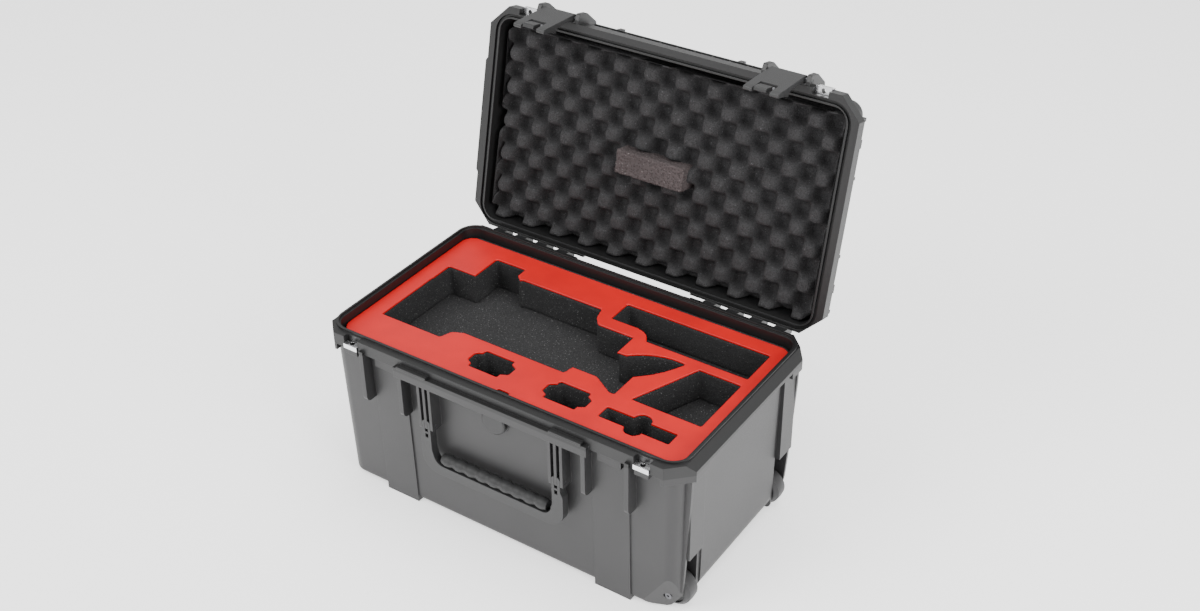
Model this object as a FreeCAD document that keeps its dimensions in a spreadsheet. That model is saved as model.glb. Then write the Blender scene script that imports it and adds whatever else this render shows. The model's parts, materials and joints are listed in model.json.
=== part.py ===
import FreeCAD, Part
import math
import os

import Sketcher
from FreeCAD import Rotation, Vector

# A wheeled transport case: a deep moulded base with cut foam, and a shallow lid on a rear hinge.
# The frame is in millimetres: X along the case with the wheels at +X, the front wall at -Y,
# Z up, and the origin on the floor under the middle of the base.
# The lid's own pieces are drawn shut, and one rotation about the hinge pin opens them.

doc = FreeCAD.newDocument("TransportCase")
sheet = doc.addObject("Spreadsheet::Sheet", "Dims")


# ---------------------------------------------------------------- sizes

class Size:
    """A number that also knows the spreadsheet expression it comes from."""

    def __init__(self, value, text=None):
        self.value = float(value)
        self.text = text or f"({self.value:.6g})"

    def joined(self, sign, other, value):
        return Size(value, f"({self.text} {sign} {other.text})")

    def __add__(self, other):
        other = as_size(other)
        return self.joined("+", other, self.value + other.value)

    def __sub__(self, other):
        other = as_size(other)
        return self.joined("-", other, self.value - other.value)

    def __mul__(self, other):
        other = as_size(other)
        return self.joined("*", other, self.value * other.value)

    def __truediv__(self, other):
        other = as_size(other)
        return self.joined("/", other, self.value / other.value)

    def __radd__(self, other):
        return as_size(other) + self

    def __rsub__(self, other):
        return as_size(other) - self

    def __rmul__(self, other):
        return as_size(other) * self

    def __neg__(self):
        return as_size(-1) * self


def as_size(number):
    return number if isinstance(number, Size) else Size(number)


def cell(alias, value):
    """Write one driving dimension into the spreadsheet and return it as a Size."""
    cell.row += 1
    sheet.set(f"A{cell.row}", alias)
    sheet.set(f"B{cell.row}", str(value))
    sheet.setAlias(f"B{cell.row}", alias)
    return Size(value, f"Dims.{alias}")


cell.row = 0

# bay and shell
bay_length = cell("bay_length", 559)
bay_width = cell("bay_width", 310)
bay_corner = cell("bay_corner", 20)
wall = cell("wall", 4)
floor_skin = cell("floor_skin", 5)
draft_step = cell("draft_step", 4.5)
parting = cell("parting", 264)
foot_drop = cell("foot_drop", 4)
bottom_round = cell("bottom_round", 8)

# rims
rim_side = cell("rim_side", 17.5)
rim_front = cell("rim_front", 17)
rim_back = cell("rim_back", 11)
rim_corner = cell("rim_corner", 30)
rim_skirt = cell("rim_skirt", 18)
corner_skirt = cell("corner_skirt", 28)
end_boss_proud = cell("end_boss_proud", 3)
end_boss_reach = cell("end_boss_reach", 85)
rim_slope_wide = cell("rim_slope_wide", 10)
rim_slope_deep = cell("rim_slope_deep", 12)
tongue_width = cell("tongue_width", 3)
tongue_rise = cell("tongue_rise", 3)
tongue_inset = cell("tongue_inset", 3.5)
rim_gap = cell("rim_gap", 0.4)

# lid
lid_rise = cell("lid_rise", 53)
lid_open = cell("lid_open", 103)
lid_skirt = cell("lid_skirt", 18)
lid_draft = cell("lid_draft", 2)
gasket_thick = cell("gasket_thick", 2.7)

# hinge
hinge_y = cell("hinge_y", 171)
hinge_z = cell("hinge_z", 255)
hinge_start = cell("hinge_start", 98)
knuckle_pitch = cell("knuckle_pitch", 19)
knuckle_radius = cell("knuckle_radius", 5.5)
knuckle_gap = cell("knuckle_gap", 0.6)
hinge_pin_radius = cell("hinge_pin_radius", 2)
back_notch_half = cell("back_notch_half", 92)
back_notch_deep = cell("back_notch_deep", 3.5)
running_gap = cell("running_gap", 0.05)

# foam
sheet_thick = cell("sheet_thick", 3)
sheet_top = cell("sheet_top", 252)
sheet_width = cell("sheet_width", 293)
pocket_depth = cell("pocket_depth", 50)
middle_layer = cell("middle_layer", 100)
soft_gap = cell("soft_gap", 0.3)
lid_foam_thick = cell("lid_foam_thick", 40)
foam_block_length = cell("foam_block_length", 112)
foam_block_width = cell("foam_block_width", 36)
foam_block_rise = cell("foam_block_rise", 12)

# front wall furniture
fin_thick = cell("fin_thick", 6.5)
fin_inner = cell("fin_inner", 150)
fin_outer = cell("fin_outer", 216)
fin_front = cell("fin_front", 176)
fin_low = cell("fin_low", 167)
bar_half = cell("bar_half", 157)
bar_front = cell("bar_front", 178)
bar_low = cell("bar_low", 236)
bar_high = cell("bar_high", 252)
band_inner = cell("band_inner", 153)
band_outer = cell("band_outer", 210)
band_proud = cell("band_proud", 2)
plate_x = cell("plate_x", 236)
plate_width = cell("plate_width", 23)
plate_thick = cell("plate_thick", 1.5)
padlock_radius = cell("padlock_radius", 3.5)
padlock_y = cell("padlock_y", 168.5)
plate_drop = cell("plate_drop", 10)
vent_z = cell("vent_z", 216)
vent_radius = cell("vent_radius", 19)
vent_stem = cell("vent_stem", 8)

# latches
latch_x = cell("latch_x", 183.25)
latch_width = cell("latch_width", 51.5)
latch_pivot_y = cell("latch_pivot_y", 178.6)
latch_pivot_z = cell("latch_pivot_z", 271.5)
latch_hub = cell("latch_hub", 6)
latch_pin_radius = cell("latch_pin_radius", 2)
latch_drop = cell("latch_drop", 75)
latch_rake = cell("latch_rake", 10.6)
latch_thick = cell("latch_thick", 7.3)
catch_low = cell("catch_low", 228)
catch_front = cell("catch_front", 165.5)
catch_half = cell("catch_half", 18)
trigger_width = cell("trigger_width", 18)
trigger_drop = cell("trigger_drop", 17)
trigger_pin_radius = cell("trigger_pin_radius", 1.5)

# front handle
handle_x = cell("handle_x", 107.5)
handle_y = cell("handle_y", 171)
handle_z = cell("handle_z", 173)
handle_pin_radius = cell("handle_pin_radius", 2.4)
lug_thick = cell("lug_thick", 4.4)
prong_thick = cell("prong_thick", 4.2)
lug_gap = cell("lug_gap", 0.3)
handle_thick = cell("handle_thick", 12)
handle_reach = cell("handle_reach", 78)
handle_wide = cell("handle_wide", 118)
grip_radius = cell("grip_radius", 9)

# wheels
wheel_x = cell("wheel_x", 262)
wheel_y = cell("wheel_y", 121)
wheel_z = cell("wheel_z", 27)
wheel_radius = cell("wheel_radius", 26)
wheel_width = cell("wheel_width", 28)
tyre_depth = cell("tyre_depth", 8)
axle_radius = cell("axle_radius", 3.5)
bushing_wall = cell("bushing_wall", 2)
well_gap = cell("well_gap", 2)
well_top = cell("well_top", 96)
end_round = cell("end_round", 28)
panel_half = cell("panel_half", 97)
panel_proud = cell("panel_proud", 2)
column_proud = cell("column_proud", 5)
cheek_thick = cell("cheek_thick", 4.5)
axle_seat = cell("axle_seat", 143.5)

# pull handle
tube_y = cell("tube_y", 62)
sleeve_width = cell("sleeve_width", 24)
sleeve_height = cell("sleeve_height", 18)
tube_wall = cell("tube_wall", 1.4)
tube_gap = cell("tube_gap", 0.2)
sleeve_length = cell("sleeve_length", 490)
stage_overlap = cell("stage_overlap", 30)
pull_grip_half = cell("pull_grip_half", 80)
pull_grip_height = cell("pull_grip_height", 24)
pull_grip_thick = cell("pull_grip_thick", 14)
finger_half = cell("finger_half", 44)
finger_depth = cell("finger_depth", 24)
finger_high = cell("finger_high", 52)

doc.recompute()

# sizes that follow
bay_x = bay_length / 2
bay_y = bay_width / 2
tub_x = bay_x + wall
tub_y = bay_y + wall
rim_x = bay_x + rim_side
front_y = bay_y + rim_front
back_y = bay_y + rim_back
tub_low = foot_drop
bay_low = foot_drop + floor_skin
lid_low = parting + rim_gap
lid_high = parting + lid_rise
skirt_low = parting - rim_skirt
wall_slope = draft_step / (parting - tub_low)


def wall_y(z):
    """Half depth of the outer front wall at height z."""
    return tub_y - wall_slope * (parting - z)


# ---------------------------------------------------------------- helpers

SIDES = (-1, 1)
TURN = {
    "X": Rotation(Vector(1, 1, 1), 120),
    "Y": Rotation(Vector(1, 0, 0), 90),
    "Z": Rotation(),
}


def bind(thing, sizes):
    for path, size in sizes.items():
        thing.setExpression(path, as_size(size).text)
    return thing


def box(x, y, z):
    """A block given as its low and high value on each axis."""
    block = doc.addObject("Part::Box", "block")
    return bind(block, {
        "Length": x[1] - x[0], "Width": y[1] - y[0], "Height": z[1] - z[0],
        "Placement.Base.x": x[0], "Placement.Base.y": y[0], "Placement.Base.z": z[0]})


def centred(middle, width):
    return (middle - width / 2, middle + width / 2)


def rod(axis, start, radius, length):
    """A cylinder from the point start, running towards +axis."""
    cylinder = doc.addObject("Part::Cylinder", "rod")
    cylinder.Placement.Rotation = {
        "X": Rotation(Vector(0, 1, 0), 90), "Y": Rotation(Vector(1, 0, 0), -90), "Z": Rotation()}[axis]
    return bind(cylinder, {
        "Radius": radius, "Height": length, "Placement.Base.x": start[0],
        "Placement.Base.y": start[1], "Placement.Base.z": start[2]})


def fuse(*pieces):
    joined = doc.addObject("Part::MultiFuse", "joined")
    joined.Shapes = list(pieces)
    joined.Refine = True
    return joined


def cut(base, *tools):
    trimmed = doc.addObject("Part::Cut", "trimmed")
    trimmed.Base = base
    trimmed.Tool = tools[0] if len(tools) == 1 else fuse(*tools)
    trimmed.Refine = True
    return trimmed


def common(first, second):
    shared = doc.addObject("Part::Common", "shared")
    shared.Base = first
    shared.Tool = second
    return shared


def rounded(base, radius, wanted):
    """Fillet every edge of base whose two end points satisfy wanted."""
    doc.recompute()
    numbers = [i + 1 for i, edge in enumerate(base.Shape.Edges)
               if len(edge.Vertexes) == 2 and wanted(edge.Vertexes[0].Point, edge.Vertexes[1].Point)]
    fillet = doc.addObject("Part::Fillet", "rounded")
    fillet.Base = base
    fillet.Edges = [(number, radius.value, radius.value) for number in numbers]
    return fillet


def upright(a, b):
    return abs(a.z - b.z) > abs(a.x - b.x) + abs(a.y - b.y)


class Point:
    """A corner of an outline: corner rounds it, bend curves the edge that leaves it."""

    def __init__(self, u, v, corner=0, bend=0):
        self.u = as_size(u)
        self.v = as_size(v)
        self.corner = as_size(corner)
        self.bend = as_size(bend)
        self.at = Vector(self.u.value, self.v.value, 0)


def hold_at(profile, geometry, end, point):
    """Fix one point of a sketch at the place that point gives."""
    for kind, size in (("DistanceX", point.u), ("DistanceY", point.v)):
        number = profile.addConstraint(Sketcher.Constraint(kind, -1, 1, geometry, end, size.value))
        profile.setExpression(f"Constraints[{number}]", size.text)


def hold_radius(profile, geometry, radius):
    number = profile.addConstraint(Sketcher.Constraint("Radius", geometry, abs(radius.value)))
    profile.setExpression(f"Constraints[{number}]", radius.text)


def arc_between(start, end, centre, counterclockwise):
    first, last = (start, end) if counterclockwise else (end, start)
    circle = Part.Circle(centre, Vector(0, 0, 1), (start - centre).Length)
    angles = [math.atan2(p.y - centre.y, p.x - centre.x) for p in (first, last)]
    if angles[1] < angles[0]:
        angles[1] += 2 * math.pi
    return Part.ArcOfCircle(circle, angles[0], angles[1])


def corner_arc(before, here, after):
    """The tangent points and centre of the arc that rounds the corner here."""
    arriving = (here.at - before.at).normalize()
    leaving = (after.at - here.at).normalize()
    turn = arriving.x * leaving.y - arriving.y * leaving.x
    side = Vector(-arriving.y, arriving.x, 0) * math.copysign(1, turn)
    reach = here.corner.value * math.tan(arriving.getAngle(leaving) / 2)
    start = here.at - arriving * reach
    return start, here.at + leaving * reach, start + side * here.corner.value, turn > 0


def bend_centre(start, end, radius):
    """Centre of the arc from start to end; a positive radius puts it on the left."""
    chord = end - start
    offset = math.sqrt(radius ** 2 - (chord.Length / 2) ** 2)
    left = Vector(-chord.y, chord.x, 0).normalize()
    return (start + end) * 0.5 + left * math.copysign(offset, radius)


def draw(profile, points):
    """Draw a closed outline, every point of it held by the spreadsheet."""
    count = len(points)
    corners = [corner_arc(points[i - 1], points[i], points[(i + 1) % count])
               if points[i].corner.value else None for i in range(count)]
    edges = []
    for i, point in enumerate(points):
        following = (i + 1) % count
        start = corners[i][1] if corners[i] else point.at
        end = corners[following][0] if corners[following] else points[following].at
        if point.bend.value:
            centre = bend_centre(start, end, point.bend.value)
            left = point.bend.value > 0
            edges.append((profile.addGeometry(arc_between(start, end, centre, left)), left))
        else:
            edges.append((profile.addGeometry(Part.LineSegment(start, end)), True))
    for i, point in enumerate(points):
        edge, forward = edges[i]
        last, last_forward = edges[i - 1]
        edge_start = 1 if forward else 2
        last_end = 2 if last_forward else 1
        if corners[i]:
            start, end, centre, left = corners[i]
            arc = profile.addGeometry(arc_between(start, end, centre, left))
            vertex = profile.addGeometry(Part.Point(point.at), True)
            profile.addConstraint([
                Sketcher.Constraint("Tangent", last, last_end, arc, 1 if left else 2),
                Sketcher.Constraint("Tangent", edge, edge_start, arc, 2 if left else 1),
                Sketcher.Constraint("PointOnObject", vertex, 1, last),
                Sketcher.Constraint("PointOnObject", vertex, 1, edge)])
            hold_at(profile, vertex, 1, point)
            hold_radius(profile, arc, point.corner)
        else:
            profile.addConstraint(Sketcher.Constraint("Coincident", last, last_end, edge, edge_start))
            hold_at(profile, edge, edge_start, point)
        if point.bend.value:
            hold_radius(profile, edge, point.bend if forward else -point.bend)


def draw_circle(profile, centre, radius):
    circle = Part.Circle(Vector(as_size(centre[0]).value, as_size(centre[1]).value, 0),
                         Vector(0, 0, 1), as_size(radius).value)
    geometry = profile.addGeometry(circle)
    hold_at(profile, geometry, 3, Point(*centre))
    hold_radius(profile, geometry, as_size(radius))


def outline(*corners):
    return [corner if isinstance(corner, Point) else Point(*corner) for corner in corners]


def rectangle(u, v, corner=0):
    return outline((u[0], v[0], corner), (u[1], v[0], corner), (u[1], v[1], corner), (u[0], v[1], corner))


def prism(axis, points, low, high):
    """A free-standing extrusion along axis, from low to high."""
    profile = doc.addObject("Sketcher::SketchObject", "profile")
    profile.Placement.Rotation = TURN[axis]
    draw(profile, points)
    bind(profile, {f"Placement.Base.{axis.lower()}": high if axis == "Y" else low})
    solid = doc.addObject("Part::Extrusion", "prism")
    solid.Base = profile
    solid.DirMode = "Normal"
    solid.Solid = True
    return bind(solid, {"LengthFwd": high - low})


def new_body(label):
    body = doc.addObject("PartDesign::Body", label)
    body.Label = label
    return body


PLANES = {"X": "YZ_Plane", "Y": "XZ_Plane", "Z": "XY_Plane"}


def sketch_on(body, axis, offset=0):
    """A sketch across the given axis; across Y its normal points to -Y."""
    plane = next(f for f in body.Origin.OriginFeatures if f.Role == PLANES[axis])
    profile = body.newObject("Sketcher::SketchObject", "profile")
    profile.AttachmentSupport = (plane, [""])
    profile.MapMode = "FlatFace"
    offset = as_size(offset)
    bind(profile, {"AttachmentOffset.Base.z": -offset if axis == "Y" else offset})
    return profile


def pad(body, axis, points, low, high):
    """Extrude an outline across the body's axis from low to high."""
    profile = sketch_on(body, axis, high if axis == "Y" else low)
    draw(profile, points)
    feature = body.newObject("PartDesign::Pad", "pad")
    feature.Profile = profile
    return bind(feature, {"Length": as_size(high) - as_size(low)})


def pocket(body, axis, shapes, low, high):
    """Cut outlines or circles out of a body between low and high on axis."""
    doc.recompute()
    volume = body.Shape.Volume
    profile = sketch_on(body, axis, low if axis == "Y" else high)
    for shape in shapes:
        if isinstance(shape, tuple):
            draw_circle(profile, shape[0], shape[1])
        else:
            draw(profile, shape)
    feature = body.newObject("PartDesign::Pocket", "pocket")
    feature.Profile = profile
    bind(feature, {"Length": as_size(high) - as_size(low)})
    doc.recompute()
    if body.Shape.Volume > volume - 1e-3:
        raise RuntimeError(f"{body.Label}: a pocket cuts nothing")
    return feature


def turned(body, points, axis="H_Axis"):
    """Revolve a half outline, drawn across Z, about one of the sketch's axes."""
    profile = sketch_on(body, "Z")
    draw(profile, points)
    feature = body.newObject("PartDesign::Revolution", "turned")
    feature.Profile = profile
    feature.ReferenceAxis = (profile, [axis])
    feature.Angle = 360
    return feature


def stand(body, x, y, z):
    """Move a finished body to its place."""
    return bind(body, {"Placement.Base.x": x, "Placement.Base.y": y, "Placement.Base.z": z})


NODES = []


def node(label, piece):
    """Give a finished piece its name, and list it for export."""
    piece.Label = label
    NODES.append(piece)
    return piece


def on_lid(drawn_shut):
    """Swing a piece that was drawn on the shut lid to where the open lid holds it."""
    drawn_shut.Label += "_shut"
    piece = doc.addObject("Part::Compound", "opened")
    piece.Links = [drawn_shut]
    piece.setExpression(
        "Placement",
        f"placement(vector(0; 0; 0); rotation(vector(1; 0; 0); -{lid_open.text}); "
        f"vector(0; {hinge_y.text}; {hinge_z.text}))")
    return piece


def drafted_block(low_half, high_half, z, round_z=None):
    """A tapering block with rounded upright edges, and its low or high edge rounded too."""
    wedge = doc.addObject("Part::Wedge", "wedge")
    wedge.Placement.Rotation = Rotation(Vector(1, 0, 0), 90)
    bind(wedge, {
        "Xmin": -low_half[0], "Xmax": low_half[0], "Zmin": -low_half[1], "Zmax": low_half[1],
        "X2min": -high_half[0], "X2max": high_half[0], "Z2min": -high_half[1], "Z2max": high_half[1],
        "Ymin": 0, "Ymax": z[1] - z[0], "Placement.Base.z": z[0]})
    corners = rounded(wedge, bay_corner, upright)
    if round_z is None:
        return corners
    level = z[0] if round_z == "low" else z[1]
    return rounded(corners, bottom_round,
                   lambda a, b: max(abs(a.z - level.value), abs(b.z - level.value)) < 1e-3)


def ring(outer_offset, inner_offset, z):
    """A band that follows the bay's opening, between two offsets from it."""
    loops = [prism("Z", rectangle((-(bay_x + offset), bay_x + offset), (-(bay_y + offset), bay_y + offset),
                                  bay_corner + 3 + offset), z[0], z[1])
             for offset in (outer_offset, inner_offset)]
    return cut(*loops)


def rim_outline():
    """The rims' eight-sided plan, with the back edge nearer than the front."""
    c = rim_corner
    return outline(
        (-rim_x + c, -front_y), (rim_x - c, -front_y), (rim_x, -front_y + c), (rim_x, back_y - c),
        (rim_x - c, back_y), (-rim_x + c, back_y), (-rim_x, back_y - c), (-rim_x, -front_y + c))


# ---------------------------------------------------------------- base shell

def wheel_sides():
    return [(side, side * wheel_y) for side in SIDES]


well_half = wheel_width / 2 + well_gap
well_x = wheel_x - wheel_radius - well_gap
well_side = wheel_y + well_half
end_round_x = tub_x - end_round - 2
end_round_z = tub_low + end_round
axle_inner = wheel_y - well_half - wall
band_x = (band_inner + band_outer) / 2
band_width = band_outer - band_inner
sleeve_z = centred(bay_low + sleeve_height / 2, sleeve_height)
end_x = tub_x - wall_slope * (parting - bay_low - sleeve_height / 2)


def wall_prism(x, z, proud, inner):
    """A block against both the front wall's slope and its height, standing proud of it."""
    return prism("X", outline((-(wall_y(z[0]) + proud), z[0]), (-(wall_y(z[1]) + proud), z[1]),
                              (-inner, z[1]), (-inner, z[0])), x[0], x[1])


def outward(side, near, far):
    """The Y span between two distances from the middle, on one side of the case."""
    return (side * near, side * far) if side > 0 else (side * far, side * near)


def mirrored_back(piece):
    twin = doc.addObject("Part::Mirroring", "mirrored")
    twin.Source = piece
    twin.Normal = Vector(0, 1, 0)
    return twin


def knuckle_spans(first):
    """The X spans of every second hinge knuckle on both sides, starting at index first."""
    spans = []
    for side in SIDES:
        for index in range(first, 8, 2):
            middle = side * (hinge_start + knuckle_pitch * (index + 0.5))
            spans.append(centred(middle, knuckle_pitch - knuckle_gap))
    return spans


bezel_half = tube_y + sleeve_width / 2 + 10
screw_radius = as_size(1.5)


def bezel_screw_places():
    """Y and Z of the four screws that hold the pull handle's bezel."""
    return [(s * (bezel_half - 5), z) for s in SIDES for z in (finger_high + 1, bay_low + sleeve_height + 10)]


def base_rim():
    rim = prism("Z", rim_outline(), skirt_low, parting)
    deep = prism("Z", rim_outline(), parting - corner_skirt, skirt_low)
    corners = fuse(*[box(centred(sx * (rim_x - rim_corner / 2), rim_corner + 8),
                         centred(sy * (front_y - rim_corner), rim_corner * 2.2),
                         (parting - corner_skirt, skirt_low)) for sx in SIDES for sy in SIDES])
    end_boss = prism("Z", outline(
        (-(rim_x + end_boss_proud), -end_boss_reach), (-rim_x + 1, -end_boss_reach - 6),
        (-rim_x + 1, end_boss_reach + 6), (-(rim_x + end_boss_proud), end_boss_reach)), skirt_low, parting)
    return [rim, common(deep, corners), end_boss]


def base_front():
    """Bar, fins, catches, handle lugs, padlock bosses and ledges on the front wall."""
    pieces = [box((-bar_half, bar_half), (-bar_front, -wall_y(bar_high) + 2), (bar_low, bar_high))]
    for side in SIDES:
        pieces.append(box(centred(side * 125, 50), (-bar_front - 1.5, -front_y), (bar_high, bar_high + 4)))
        for x in (fin_inner, fin_outer):
            fin = outline((-tub_y + 6, bar_high), (-fin_front, bar_high), (-fin_front, fin_low, 9),
                          (-tub_y + 6, fin_low))
            pieces.append(prism("X", fin, side * x - fin_thick / 2, side * x + fin_thick / 2))
        catch = centred(side * latch_x, catch_half * 2)
        pieces.append(box(catch, (-catch_front, -tub_y + 4), (catch_low, skirt_low)))
        lug_x = side * handle_x
        reach = prong_thick + lug_gap * 2 + lug_thick
        for offset in (-reach, 0, reach):
            lug = outline((-tub_y + 6, bar_low), (-bar_front + 1, bar_low), (-bar_front + 1, handle_z - 8, 3),
                          (-tub_y + 6, handle_z - 8))
            pieces.append(prism("X", lug, lug_x + offset - lug_thick / 2, lug_x + offset + lug_thick / 2))
        boss = centred(side * plate_x, plate_width - 2)
        pieces.append(box(boss, (-front_y - 1, -tub_y + 4), (bar_low + 2, parting - plate_drop - plate_thick)))
    return pieces


def base_bands():
    """Foot bands under the case and up its front and back walls, and a skid in the middle."""
    pieces = [box((-120, 120), (-100, 100), (0, tub_low + 1))]
    for side in SIDES:
        x = centred(side * band_x, band_width)
        pieces.append(box(x, (-wall_y(tub_low) - band_proud, wall_y(tub_low) + band_proud), (0, tub_low + 1)))
        front = wall_prism(x, (tub_low, skirt_low), band_proud, tub_y - 14)
        pieces += [front, mirrored_back(front)]
    return pieces


facet_turn = 67.6
facet_tip = 14.9
facet_size = 300
crease_start = (232.5, 0, 20)
nut_radius = axle_radius + 3.5
nut_thick = 5


def wheel_end():
    """The end panel, the corner columns and the thin wings that stand beside the wheels."""
    low = end_round_z
    inner = tub_x - 14
    face = [(tub_x - wall_slope * (parting - z) + panel_proud, z) for z in (low, skirt_low)]
    pieces = [prism("Y", outline((inner, tub_low + 2), (face[0][0], tub_low + 2), *face, (inner, skirt_low)),
                    -panel_half, panel_half)]
    for side in SIDES:
        pieces.append(box((inner, tub_x + column_proud), outward(side, panel_half + 7, well_side + 1),
                          (well_top, skirt_low)))
    wing = prism("Y", outline((228, tub_low), (258, tub_low), (264, 7), (280, 31), (283, 73), (290, 204),
                              (291, skirt_low), (inner, skirt_low), (inner, well_top), (228, well_top)),
                 -well_side - cheek_thick, -well_side)
    return pieces + [wing, mirrored_back(wing)]


def wheel_end_cuts():
    """The rounded lower edge of the end, and the corners that lean in below a slanting crease."""
    edge = box((end_round_x, rim_x + 10), (-panel_half - 5, panel_half + 5), (-1, end_round_z))
    tools = [cut(edge, rod("Y", (end_round_x, -panel_half - 6, end_round_z), end_round,
                           panel_half * 2 + 12))]
    corner = prism("Y", outline((258, -2), (rim_x + 10, -2), (rim_x + 10, 73), (283, 73), (280, 31), (264, 7),
                                (258, tub_low)), -tub_y - 10, -well_side)
    turn, tip = math.radians(facet_turn), math.radians(facet_tip)
    facing = Vector(math.cos(turn) * math.cos(tip), -math.sin(turn) * math.cos(tip), -math.sin(tip))
    lean = Rotation(Vector(0, 0, 1), facing)
    facet = doc.addObject("Part::Box", "facet")
    facet.Length, facet.Width, facet.Height = facet_size, facet_size, facet_size / 5
    facet.Placement.Rotation = lean
    start = Vector(*crease_start) + lean.multVec(Vector(-facet_size / 2, -facet_size / 2, 0))
    bind(facet, {"Placement.Base.x": start.x, "Placement.Base.y": -tub_y + 3 + start.y,
                 "Placement.Base.z": start.z})
    low_corner = common(facet, box((215, rim_x + 10), (-tub_y - 10, -wheel_y), (-2, 110)))
    return tools + [corner, mirrored_back(corner), low_corner, mirrored_back(low_corner)]


def rim_slopes():
    """The wedges that slope the two end rims down and outwards."""
    slope = outline((rim_x - rim_slope_wide, parting), (rim_x, parting - rim_slope_deep),
                    (rim_x + 6, parting - rim_slope_deep * 1.6), (rim_x + 6, parting + 6),
                    (rim_x - rim_slope_wide, parting + 6))
    right = prism("Y", slope, -front_y - 1, back_y + 1)
    left = doc.addObject("Part::Mirroring", "mirrored")
    left.Source = right
    left.Normal = Vector(1, 0, 0)
    return [right, left]


def hinge_leaf(first, arm):
    """Knuckles along the hinge axis; arm is the box, across X, that carries each one."""
    pieces = []
    for x in knuckle_spans(first):
        pieces.append(rod("X", (x[0], hinge_y, hinge_z), knuckle_radius, x[1] - x[0]))
        pieces.append(box(x, arm[0], arm[1]))
    return pieces


def hinge_bore():
    bores = []
    for side in SIDES:
        start = side * hinge_start if side > 0 else side * hinge_start - knuckle_pitch * 8
        bores.append(rod("X", (start - 2, hinge_y, hinge_z), hinge_pin_radius + running_gap, knuckle_pitch * 8 + 4))
    return bores


def base_shell():
    tub = drafted_block((tub_x - draft_step, tub_y - draft_step), (tub_x, tub_y), (tub_low, parting), "low")
    web = ((back_y - 4, hinge_y), (hinge_z - knuckle_radius, hinge_z + knuckle_radius - 1))
    vent_seat = rod("Y", (0, -wall_y(vent_z) - 1, vent_z), vent_radius + 2, wall + 3)
    tongue = ring(tongue_inset + tongue_width, tongue_inset, (parting - 1, parting + tongue_rise))
    solid = fuse(tub, vent_seat, tongue, *base_rim(), *base_front(), *base_bands(), *wheel_end(),
                 *hinge_leaf(0, web))
    bay = drafted_block((bay_x - draft_step, bay_y - draft_step), (bay_x, bay_y), (bay_low, parting + 6))
    kept = [box((well_x - wall, bay_x + 5), outward(side, axle_inner, tub_y), (0, well_top + wall))
            for side in SIDES]
    kept.append(box((end_round_x - wall, bay_x + 5), (-axle_inner - 1, axle_inner + 1), (0, end_round_z + wall)))
    kept.append(box((-tub_x, -end_x + finger_depth + wall), (-finger_half - wall, finger_half + wall),
                    (0, finger_high + wall)))
    kept.append(vent_seat)
    hollow = cut(bay, *kept)
    tools = [hollow, *wheel_end_cuts(), *rim_slopes()]
    tools.append(box((-back_notch_half, back_notch_half), (back_y - back_notch_deep, back_y + 4),
                     (skirt_low - 1, parting + 1)))
    for side, y in wheel_sides():
        tools.append(box((well_x, rim_x + 10), centred(y, well_half * 2), (-1, well_top)))
        start = -axle_seat - 4 if side < 0 else axle_inner - 5
        tools.append(rod("Y", (wheel_x, -axle_seat - 20 if side < 0 else axle_seat, wheel_z),
                         axle_radius + 2.5, 20))
        tools.append(rod("Y", (wheel_x, start, wheel_z), axle_radius + running_gap, 60))
        tools.append(box(centred(wheel_x, nut_radius * 2 + 2), outward(side, axle_inner - nut_thick - 4, axle_inner),
                         (wheel_z - nut_radius - 1, end_round_z + wall + 1)))
        tools.append(box(centred(side * plate_x, plate_width + 1),
                         (-front_y - 2, -padlock_y + 5), (parting - plate_drop - plate_thick, parting + 1)))
        tools.append(rod("Z", (side * plate_x, -padlock_y, bar_low - 4), padlock_radius + 0.4, 40))
        tools.append(box((tub_x - 1.5, tub_x + 6), centred(side * 67, 25), (skirt_low - 14, skirt_low)))
        tools.append(rod("X", (side * handle_x - 14, -handle_y, handle_z), handle_pin_radius + running_gap, 28))
        tools.append(box((-end_x - 4, -end_x + wall + 8), centred(side * tube_y, sleeve_width),
                         (bay_low, bay_low + sleeve_height)))
    for y, z in bezel_screw_places():
        tools.append(rod("X", (-end_x - 4, y, z), screw_radius + running_gap, wall + 6))
    for x in knuckle_spans(1):
        tools.append(box((x[0] - knuckle_gap / 2, x[1] + knuckle_gap / 2), (back_y - 1.2, hinge_y + 10),
                         (skirt_low - 1, parting + 1)))
    tools += hinge_bore()
    tools.append(box((-end_x - 6, -end_x + finger_depth), (-finger_half, finger_half),
                     (bay_low, finger_high)))
    tools.append(rod("Y", (0, -tub_y - 12, vent_z), vent_stem + running_gap, 30))
    return cut(solid, *tools)


node("base_shell", base_shell())


# ---------------------------------------------------------------- foam

def foam_half(z):
    """Half length and half width of a foam layer that fits the drafted bay above height z."""
    shrink = wall_slope * (parting - z) + soft_gap
    return bay_x - shrink, bay_y - shrink


def foam_plan(z):
    x, y = foam_half(z)
    return rectangle((-x, x), (-y, y), bay_corner)


MAIN_POCKET = outline(
    (-250, 62), (-202, 62), (-202, 115), (-149, 115), (-149, 96), Point(-140, 88), (-136, 91), (2, 90),
    (7, 70, 8), (18, 56, 8), (78, 56), (78, 15), Point(92, 16, 0, -130), Point(170, 42, 0, 92),
    Point(126, -20, 0, 150), (126, -66), Point(117, -65, 0, -60), Point(86, -46, 0, 0), (46, -45), (43, -62),
    (-125, -62), (-142, -70, 8), (-148, -87), (-252, -88))[::-1]
TOP_POCKET = outline(
    (26, 78), Point(72, 78, 0, -28), Point(97, 57, 0, 0), (256, 57), (256, 121), (26, 121))
SIDE_POCKET = outline((150, -62), (256, -62), (256, 41), (192, 42))


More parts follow.
